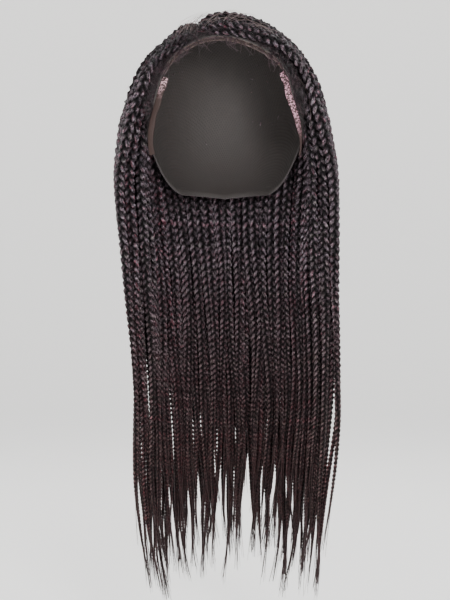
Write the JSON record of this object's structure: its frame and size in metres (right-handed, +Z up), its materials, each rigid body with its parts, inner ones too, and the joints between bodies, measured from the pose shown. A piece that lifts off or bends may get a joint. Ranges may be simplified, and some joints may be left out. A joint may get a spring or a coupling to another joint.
{
  "type": "braid wig",
  "caption": "Worn wig of long three-strand braids in layers that hang from a side-parted net cap with a lace front and ear tabs, held up as on a head.",
  "frame": {"origin": "inside of the cap at the crown of the head, where the wig sits", "axes": "+Z up, the face side towards -Y, +X to the right as seen from the front"},
  "size_m": [0.2198, 0.1937, 0.5862],
  "materials": {
    "braided_hair": "synthetic fibre, satin",
    "cap_net": "knitted net, matt",
    "front_lace": "fine lace, matt",
    "tab_cloth": "thin cloth, slight shine"
  },
  "bodies": {
    "root": {"cap": "cap_net", "lace_front": "front_lace", "ear_tab_left": "tab_cloth", "ear_tab_right": "tab_cloth", "outer_lock_01": "braided_hair", "outer_lock_02": "braided_hair", "outer_lock_03": "braided_hair", "outer_lock_04": "braided_hair", "outer_lock_05": "braided_hair", "outer_lock_06": "braided_hair", "outer_lock_07": "braided_hair", "outer_lock_08": "braided_hair", "outer_lock_09": "braided_hair", "outer_lock_10": "braided_hair", "outer_lock_11": "braided_hair", "outer_lock_12": "braided_hair", "outer_lock_13": "braided_hair", "outer_lock_14": "braided_hair", "outer_lock_15": "braided_hair", "upper_lock_01": "braided_hair", "upper_lock_02": "braided_hair", "upper_lock_03": "braided_hair", "upper_lock_04": "braided_hair", "upper_lock_05": "braided_hair", "upper_lock_06": "braided_hair", "upper_lock_07": "braided_hair", "upper_lock_08": "braided_hair", "upper_lock_09": "braided_hair", "upper_lock_10": "braided_hair", "upper_lock_11": "braided_hair", "upper_lock_12": "braided_hair", "upper_lock_13": "braided_hair", "lower_lock_01": "braided_hair", "lower_lock_02": "braided_hair", "lower_lock_03": "braided_hair", "lower_lock_04": "braided_hair", "lower_lock_05": "braided_hair", "lower_lock_06": "braided_hair", "lower_lock_07": "braided_hair", "lower_lock_08": "braided_hair", "lower_lock_09": "braided_hair", "lower_lock_10": "braided_hair", "lower_lock_11": "braided_hair", "nape_lock_01": "braided_hair", "nape_lock_02": "braided_hair", "nape_lock_03": "braided_hair", "nape_lock_04": "braided_hair", "nape_lock_05": "braided_hair", "nape_lock_06": "braided_hair", "nape_lock_07": "braided_hair", "nape_lock_08": "braided_hair", "nape_lock_09": "braided_hair"}
  },
  "joints": []
}
